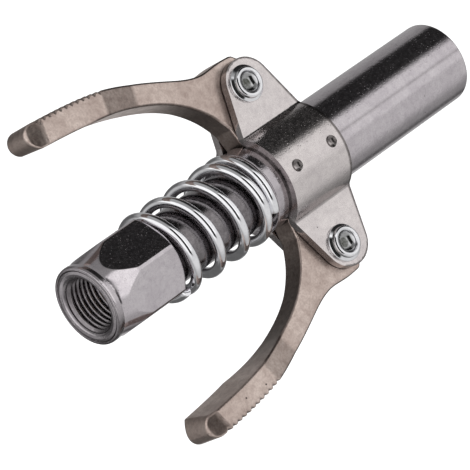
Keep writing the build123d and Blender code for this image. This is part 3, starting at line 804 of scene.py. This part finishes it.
def rivet_tone(x, y, z):
    """How dark the rivets are painted: painted shade in the recess, darkest at its floor, and a
    line of painted shade in the groove between the rim and the flange.
    """
    r = math.hypot(x - PIVOT[0], abs(y) - PIVOT[1])
    recess = (RECESS_SHADE_TONE + FLOOR_SHADE_TONE * (r < 0.8)) * min(max((1.9 - r) / 0.3, 0.0), 1.0) * (z > 0)
    in_groove = abs(r - RIM_R) < 0.05 and EAR_TOP + 0.4 < z < EAR_TOP + 0.85
    return max(recess, RIVET_GROOVE_SHADE * in_groove)


# -------------------------------- levers

OUTER = ((8.0, 29.45), (15.9, 28.85), (22.5, 27.85), (30.2, 25.6), (36.0, 23.2), (40.6, 21.4))
LOBE_TOP = ((42.8, 21.0), (46.6, 21.15), (50.2, 21.0))
INNER = (
    (7.0, 25.45), (17.5, 24.5), (28.2, 22.05), (33.7, 19.65), (38.4, 16.0), (40.8, 12.8),
    (41.9, 10.6),
)
HANDLE_END, ARM_START = 40.6, 38.4
LOBE_R, LOBE_SWEEP = 5.0, (46, -60)
LOBE_END = (2.5, -4.35)       # from the pivot
ARM_OUTER = ((45.6, 9.4), (45.0, 5.4))
ARM_INNER_END = (42.6, 5.4)
TIP = (5.6, 27.5)
TIP_STEPS = 13
NOSE = (43.8, 5.4)
NOSE_R, NOSE_STEPS = 1.2, 6
TEETH = 12
TEETH_START, TEETH_END = 8.9, 22.2
TEETH_SHARE = 0.46    # share of the handle that carries them, with closer rows
TOOTH_DEEP, TOOTH_CURVE, TEETH_STRIP = 0.44, 1.4, 0.9
# Spacing of the edge curves' points, and rows along the teeth, the plain handle and the arm.
RAIL_STEP, TEETH_ROWS, PLAIN_ROWS, ARM_ROWS = 0.05, 170, 50, 60
ARM_CURVE = 0.9       # below 1 the inner edge's rows gather towards the nose
EDGE_PLAY = 0.01      # keeps the outer edge inside the solid model's box
EDGE_R, TIP_EDGE_R = 0.42, 0.75
EDGE_SHARE, STRIP_SHARE = 0.45, 0.3     # most of the bar's width that each may take
TOP_RAMP, LOW_RAMP = (22.0, 28.3), (27.9, 36.9)
BEVEL_X, BEVEL_SLOPE = 9.1, 0.34
# The inner side's draft: where it starts, how fast it grows towards the tip and where it ends.
DRAFT_X, DRAFT_RUN, DRAFT_CURVE, DRAFT_TIP = 28.2, 10.7, 1.3, 1.6

# Stretches of the castings painted darker as shade and dark reflection: how dark, from and to which
# station, and the fade's length.
RAMP_LEFT, RAMP_RIGHT = (0.6, *TOP_RAMP, 0.5), (0.4, *TOP_RAMP, 0.5)
TIP_TOP = (0.8, 6.6, 8.2, 0.7)
OUTER_EDGE = (0.95, 23.0, 46.0, 1.0)
INNER_EDGE_LEFT, INNER_EDGE_RIGHT = (0.7, 20.0, 44.0, 2.0), (0.8, 23.0, 28.5, 1.5)
INNER_SIDE_LEFT, INNER_SIDE_RIGHT = (0.6, 40.0, 60.0, 10.0), (0.72, 30.0, 60.0, 10.0)


def tip_arc():
    """Centre and radius of the handle's rounded end, through the first points and the tip."""
    (ax, ay), (bx, by), (cx, cy) = INNER[0], TIP, OUTER[0]
    d = 2 * (ax * (by - cy) + bx * (cy - ay) + cx * (ay - by))
    a, b, c = ax ** 2 + ay ** 2, bx ** 2 + by ** 2, cx ** 2 + cy ** 2
    ux = (a * (by - cy) + b * (cy - ay) + c * (ay - by)) / d
    uy = (a * (cx - bx) + b * (ax - cx) + c * (bx - ax)) / d
    return (ux, uy), math.hypot(ax - ux, ay - uy)


def tooth_notch(x):
    """Depth of the notches between the teeth at a station."""
    pitch = (TEETH_END - TEETH_START) / (TEETH - 1)
    if not TEETH_START - pitch / 2 < x < TEETH_END + pitch / 2:
        return 0.0
    phase = (x - TEETH_START) / pitch
    return TOOTH_DEEP * (0.5 + 0.5 * math.cos(math.tau * phase)) ** TOOTH_CURVE


def handle_half(x, ramp):
    """Half thickness of the lever at a station, on the face that has this ramp."""
    share = min(max((x - ramp[0]) / (ramp[1] - ramp[0]), 0.0), 1.0)
    return HANDLE_HALF + (NECK_HALF - HANDLE_HALF) * share


def divided(line, station):
    """The points of a line up to a station, and those beyond it."""
    points = [tuple(p) for p in line]
    return [p for p in points if p[0] <= station], [p for p in points if p[0] > station]


def lever_rails():
    """Matched points on the outer and the inner edge, from the tip to the nose."""
    centre, radius = tip_arc()
    to_outer = math.atan2(OUTER[0][1] - centre[1], OUTER[0][0] - centre[0])
    to_inner = math.atan2(INNER[0][1] - centre[1], INNER[0][0] - centre[0]) % math.tau
    middle = (to_outer + to_inner) / 2
    outer, inner = [], []
    for k in range(TIP_STEPS):
        share = math.sin(math.pi / 2 * k / TIP_STEPS)
        for rail, end in ((outer, to_outer), (inner, to_inner)):
            a = middle + (end - middle) * share
            rail.append((centre[0] + radius * math.cos(a), centre[1] + radius * math.sin(a)))
    handle_out, lobe_out = divided(natural_spline(OUTER + LOBE_TOP, RAIL_STEP), HANDLE_END)
    handle_in, arm_in = divided(natural_spline(INNER, RAIL_STEP), ARM_START)
    shares = [
        *np.linspace(0, TEETH_SHARE, TEETH_ROWS), *np.linspace(TEETH_SHARE, 1.0, PLAIN_ROWS)[1:],
    ]
    outer += [tuple(p) for p in resample(handle_out, shares)]
    inner += [tuple(p) for p in resample(handle_in, shares)]
    lobe_end = (PIVOT[0] + LOBE_END[0], PIVOT[1] + LOBE_END[1])
    round_out = lobe_out + arc(PIVOT, LOBE_R, *LOBE_SWEEP, 14) + [lobe_end, *ARM_OUTER]
    round_in = arm_in + [ARM_INNER_END]
    shares = np.linspace(0, 1, ARM_ROWS + 1)[1:]
    outer += [tuple(p) for p in resample(round_out, shares)]
    inner += [tuple(p) for p in resample(round_in, shares ** ARM_CURVE)]
    for k in range(1, NOSE_STEPS + 1):
        a = math.radians(90 * k / NOSE_STEPS)
        outer.append((NOSE[0] + NOSE_R * math.cos(a), NOSE[1] - NOSE_R * math.sin(a)))
        inner.append((NOSE[0] - NOSE_R * math.cos(a), NOSE[1] - NOSE_R * math.sin(a)))
    return outer, inner


def eased(inset, radius):
    """How much a face drops at an inset from the tip, where its edge is rounded to a radius."""
    return radius * (1 - math.sqrt(max(0.0, 1 - (1 - min(inset / radius, 1.0)) ** 2)))


def lever(name, node, body, side, draft_top, draft_bottom):
    """One cast lever: rounded bar with a rounded tip, teeth, ramps, pivot lobe and nose."""
    outer, inner = lever_rails()
    rows, tone = [], []
    for (ox, oy), (ix, iy) in zip(outer, inner):
        out_edge = np.array((ox, oy))
        in_edge = np.array((ix, iy))
        across = out_edge - in_edge
        width = np.linalg.norm(across)
        way = across / width if width > 1e-6 else np.array((0.0, 1.0))
        x = (ox + ix) / 2
        inset = max(0.0, x - TIP[0])
        top_half = handle_half(x, TOP_RAMP) - BEVEL_SLOPE * max(0.0, BEVEL_X - x)
        top_half -= eased(inset, TIP_EDGE_R)
        low_half = handle_half(x, LOW_RAMP) - eased(inset, EDGE_R)
        notch = tooth_notch(ox)
        lean = min(1.0, max(0.0, (DRAFT_X - ix) / DRAFT_RUN)) ** DRAFT_CURVE
        lean *= min(1.0, max(0.0, (ix - TIP[0]) / DRAFT_TIP))
        corner = min(EDGE_R, width * EDGE_SHARE)
        strip = min(TEETH_STRIP, width * STRIP_SHARE)
        row = []
        for u, v, across_sign, up_sign in corners(corner, strip):
            z = (top_half - corner if up_sign > 0 else corner - low_half) + v
            if across_sign > 0:
                inwards = corner + EDGE_PLAY + (notch if u > -corner else 0.0)
                p = out_edge - way * inwards + way * u
            else:
                height = (z + HANDLE_HALF) / (2 * HANDLE_HALF)
                pull = lean * (draft_top * height + draft_bottom * (1 - height))
                p = in_edge + way * corner + way * u - way * pull
            row.append((p[0], side * p[1], z))
            tone.append(lever_tone(x, v / max(corner, 0.001), across_sign, side))
        rows.append(row)
    points, faces = skin(rows)
    piece = add_piece(name, points, faces, "cast_nickel", body, node, tone=tone)
    weigh_normals(piece)


def lever_tone(x, v, across_sign, side):
    """How dark the casting is painted: painted shade and dark reflection on the ramp, on the bevel
    at the tip, on the upper edges and on the inner side; the other faces stay clean.

    v is the height in the rounded corner, from -1 to 1 for the top face.
    """
    if v > 0.9:
        return max(patch(x, *(RAMP_LEFT if side > 0 else RAMP_RIGHT)), patch(x, *TIP_TOP))
    if v > 0.3:
        if across_sign > 0:
            return patch(x, *OUTER_EDGE)
        return patch(x, *(INNER_EDGE_LEFT if side > 0 else INNER_EDGE_RIGHT))
    if across_sign < 0:
        return patch(x, *(INNER_SIDE_LEFT if side > 0 else INNER_SIDE_RIGHT))
    return 0.0


def corners(radius, strip, steps=3):
    """Offsets of a rounded bar's section points: along the section, up, and which corner."""
    out = [(-strip, -radius, 1, -1)]
    for across_sign, up_sign, start in ((1, -1, -90), (1, 1, 0), (-1, 1, 90), (-1, -1, 180)):
        for k in range(steps + 1):
            a = math.radians(start + 90 * k / steps)
            out.append((radius * math.cos(a), radius * math.sin(a), across_sign, up_sign))
        if across_sign > 0 and up_sign > 0:
            out.append((-strip, radius, 1, 1))
    return out


# -------------------------------- springs

SPRING_R, WIRE_R = 7.3, 0.95
SPRING_START = 162.0
SPRING_DEAD, SPRING_OPEN, SPRING_CLOSED = 0.65, 3.22, 1.03
COIL_GAP = 0.05       # between the coils that lie against the sleeve
PER_TURN = 64
RUN_ON = 0.3          # turns beyond each end that the smoothing of the climb needs
SMOOTHING = 11        # path points over which the climb is smoothed
RIM_POINTS = 24
# Rings of a cut end, from its middle: how far inside the wire's surface and how far from the cut.
CUT_END = ((WIRE_R, 0.0), (0.1, 0.0), (0.03, 0.03), (0.0, 0.1))


def main_spring():
    """Round wire in closed-end coils with two cut ends."""
    turns = SPRING_DEAD + SPRING_OPEN + SPRING_CLOSED
    start = HEX_END + WIRE_R
    closed = SPRING_CLOSED * (2 * WIRE_R + COIL_GAP)
    stretch = SLEEVE_BACK - WIRE_R - closed - start
    last = round(turns * PER_TURN)
    at = np.linspace(-RUN_ON, turns + RUN_ON, round((turns + 2 * RUN_ON) * PER_TURN) + 1)
    opened = np.clip((at - SPRING_DEAD) / SPRING_OPEN, 0, 1)
    shut = np.clip((at - SPRING_DEAD - SPRING_OPEN) / SPRING_CLOSED, 0, 1)
    along = start + stretch * opened + closed * shut
    kernel = np.hanning(SMOOTHING)
    padded = np.pad(along, SMOOTHING // 2, mode="edge")
    smooth = np.convolve(padded, kernel / kernel.sum(), mode="valid")
    turn = np.linspace(0, turns, last + 1)
    angle = math.radians(SPRING_START) + math.tau * turn
    path = turned(np.interp(turn, at, smooth), SPRING_R, angle)
    tangent = np.gradient(path, axis=0)
    tangent /= np.linalg.norm(tangent, axis=1)[:, None]

    def wire_ring(number, radius, shift=0.0):
        out = np.array((0, math.cos(angle[number]), math.sin(angle[number])))
        other = np.cross(tangent[number], out)
        centre = path[number] + tangent[number] * shift
        return [
            centre + radius * (math.cos(a) * out + math.sin(a) * other) for a in circle(RIM_POINTS)
        ]

    rows = [wire_ring(0, WIRE_R - inside, shift) for inside, shift in CUT_END]
    rows += [wire_ring(i, WIRE_R) for i in range(1, last)]
    rows += [wire_ring(last, WIRE_R - inside, -shift) for inside, shift in reversed(CUT_END)]
    points, faces = skin(rows)
    piece = add_piece("main_spring_wire", points, faces, "spring_steel", "core", "main_spring")
    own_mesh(piece)
    weigh_normals(piece)


def inner_spring(node, body):
    """Light spring inside, taken from the solid model."""
    data = frame["nodes"][node].data.copy()
    data.transform(frame["nodes"][node].matrix_world)
    data.materials.clear()
    data.materials.append(MATERIALS["spring_steel"])
    piece = place(node + "_wire", data)
    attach(piece, body)
    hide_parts(node)
    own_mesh(piece)


# -------------------------------- camera

# The camera's place in metres and its turn, an axis as long as the angle, as in the photograph.
EYE = Vector((-0.26247, 0.03838, 0.38579))
TURN = Vector((2.7646, -0.829, 0.9754))
LENS, SENSOR = 225.44, 36.0


def camera():
    """Camera at the photograph's place."""
    data = bpy.data.cameras.new("camera")
    data.sensor_width = SENSOR
    data.lens = LENS
    data.clip_start = 0.01
    data.clip_end = 20
    eye = place("camera", data)
    view = Matrix.Rotation(TURN.length, 3, TURN.normalized())
    turn = view.transposed() @ Matrix.Diagonal((1, -1, -1))
    eye.matrix_world = Matrix.Translation(EYE) @ turn.to_4x4()
    bpy.context.scene.camera = eye


# -------------------------------- cloth dome

AIM = Vector((0.0455, 0.0, 0.0))
DOME_R = 0.6
DOME_STEP = 2.0       # degrees
DOME_LEVEL = 0.34
# Panels of the cloth dome, painted one over the other: middle and half width in degrees round the
# coupler's axis (from +Y towards +Z), the same away from +X, the level and the softness.
PANELS = {
    "wall": ((140, 32), (80, 95), 0.7, 20),
    "wall_low": ((-158, 30), (76, 16), 0.5, 10),
    "under": ((-112, 42), (90, 90), 0.12, 10),
    "low_side": ((-62, 28), (40, 26), 0.4, 8),
    "low_mid": ((-56, 22), (92, 26), 0.12, 8),
    "low_left": ((-112, 20), (58, 14), 0.6, 8),
    "low_rear": ((-90, 75), (138, 10), 0.5, 8),
    "behind": ((0, 180), (170, 14), 0.75, 8),
    "dark_side": ((19, 32), (36, 40), 0.02, 7),
    "key": ((88, 30), (40, 46), 0.9, 6),
    "cone_glow": ((84, 32), (85, 8), 1.25, 5),
    "top_flag": ((92, 36), (109, 16), 0.02, 3),
    "camera_side": ((55, 88), (150, 25), 1.05, 5),
}


def dome_level(turns, tilt):
    """Levels of the dome at angles round the axis and one angle away from +X."""
    level = np.full_like(turns, DOME_LEVEL)
    for (mid_turn, half_turn), (mid_tilt, half_tilt), value, soft in PANELS.values():
        off_turn = np.abs((turns - mid_turn + 180) % 360 - 180) - half_turn
        off_tilt = np.abs(tilt - mid_tilt) - half_tilt
        share = np.clip(0.5 - np.maximum(off_turn, off_tilt) / (2 * soft), 0, 1)
        level += (value - level) * share * share * (3 - 2 * share)
    return level


def cloth():
    """Material that glows by the level stored in each point."""
    material = bpy.data.materials.new("dome")
    material.use_nodes = True
    tree = material.node_tree
    tree.nodes.remove(tree.nodes["Principled BSDF"])
    level = tree.nodes.new("ShaderNodeAttribute")
    level.attribute_name = "level"
    glow = tree.nodes.new("ShaderNodeEmission")
    glow.inputs["Color"].default_value = WHITE
    tree.links.new(level.outputs["Fac"], glow.inputs["Strength"])
    tree.links.new(glow.outputs["Emission"], tree.nodes["Material Output"].inputs["Surface"])
    return material


def dome():
    """Cloth dome with soft panels that the metal mirrors, out of the camera's sight."""
    turns = np.arange(0, 360, DOME_STEP)
    rows, levels = [], []
    for tilt in np.arange(DOME_STEP / 2, 180, DOME_STEP):
        x = AIM.x + DOME_R * math.cos(math.radians(tilt))
        rows.append(turned(x, DOME_R * math.sin(math.radians(tilt)), np.radians(turns)))
        levels += list(dome_level(turns, tilt))
    points, faces = skin(rows)
    data = bpy.data.meshes.new("dome")
    data.from_pydata(points, [], faces)
    data.attributes.new("level", "FLOAT", "POINT").data.foreach_set("value", levels)
    data.materials.append(cloth())
    shell = place("dome", data)
    shell.visible_camera = False
    shell.visible_shadow = False


# -------------------------------- floor and surroundings

FLOOR_HALF, FLOOR_Z = 3, -0.65
FLOOR_PAINT, FLOOR_GLOW = 0.86, 0.75
SKY_LEVEL = 0.45


def seen_directly(tree):
    """1 where the camera sees a surface, also in metal or through clear pieces, and 0 elsewhere."""
    paths = tree.nodes.new("ShaderNodeLightPath")
    seen = paths.outputs["Is Camera Ray"]
    for other in ("Is Glossy Ray", "Is Transmission Ray"):
        either = tree.nodes.new("ShaderNodeMath")
        either.operation = "MAXIMUM"
        tree.links.new(seen, either.inputs[0])
        tree.links.new(paths.outputs[other], either.inputs[1])
        seen = either.outputs["Value"]
    return seen


def floor():
    """Wide pale floor, lifted to white by a glow that lights nothing else."""
    data = bpy.data.meshes.new("floor")
    near = [(-FLOOR_HALF, -FLOOR_HALF, 0), (FLOOR_HALF, -FLOOR_HALF, 0)]
    data.from_pydata(near + [(-x, -y, 0) for x, y, _ in near], [], [(0, 1, 2, 3)])
    ground = place("floor", data)
    ground.location = (0, 0, FLOOR_Z)
    material = bpy.data.materials.new("floor")
    material.use_nodes = True
    tree = material.node_tree
    paint = tree.nodes["Principled BSDF"]
    paint.inputs["Base Color"].default_value = (FLOOR_PAINT, FLOOR_PAINT, FLOOR_PAINT, 1)
    paint.inputs["Roughness"].default_value = 0.8
    strength = tree.nodes.new("ShaderNodeMath")
    strength.operation = "MULTIPLY"
    strength.inputs[1].default_value = FLOOR_GLOW
    tree.links.new(seen_directly(tree), strength.inputs[0])
    glow = tree.nodes.new("ShaderNodeEmission")
    glow.inputs["Color"].default_value = WHITE
    tree.links.new(strength.outputs["Value"], glow.inputs["Strength"])
    both = tree.nodes.new("ShaderNodeAddShader")
    tree.links.new(paint.outputs["BSDF"], both.inputs[0])
    tree.links.new(glow.outputs["Emission"], both.inputs[1])
    tree.links.new(both.outputs["Shader"], tree.nodes["Material Output"].inputs["Surface"])
    data.materials.append(material)


def world():
    """Even, pale surroundings."""
    sky = bpy.data.worlds.new("studio")
    bpy.context.scene.world = sky
    sky.use_nodes = True
    tree = sky.node_tree
    lit, shown = tree.nodes["Background"], tree.nodes.new("ShaderNodeBackground")
    for shader, level in ((lit, SKY_LEVEL), (shown, 1.0)):
        shader.inputs["Color"].default_value = WHITE
        shader.inputs["Strength"].default_value = level
    choose = tree.nodes.new("ShaderNodeMixShader")
    tree.links.new(seen_directly(tree), choose.inputs["Fac"])
    tree.links.new(lit.outputs["Background"], choose.inputs[1])
    tree.links.new(shown.outputs["Background"], choose.inputs[2])
    tree.links.new(choose.outputs["Shader"], tree.nodes["World Output"].inputs["Surface"])


# -------------------------------- the scene

def dress_cad():
    """Give the CAD nodes that stay the material of their slot."""
    slots = {entry["node"]: entry["material_slot"] for entry in frame["record"]["subparts"]}
    for name, node in frame["nodes"].items():
        material = MATERIALS[slots[name]]
        if not node.material_slots:
            node.data.materials.append(material)
        for held in node.material_slots:
            held.material = material


dress_cad()
rear_body()
outer_sleeve()
bracket("bracket_upper_sheet", "bracket_top", 1)
bracket("bracket_lower_sheet", "bracket_bottom", -1)
pivot_rivets()
lever("lever_left_casting", "lever_left", "left_lever", 1, 0.5, 0.0)
lever("lever_right_casting", "lever_right", "right_lever", -1, 0.0, 1.1)
main_spring()
inner_spring("check_spring", "core")
inner_spring("seal_spring", "core")
floor()
world()
dome()
camera()
bpy.context.scene.view_settings.view_transform = "Standard"
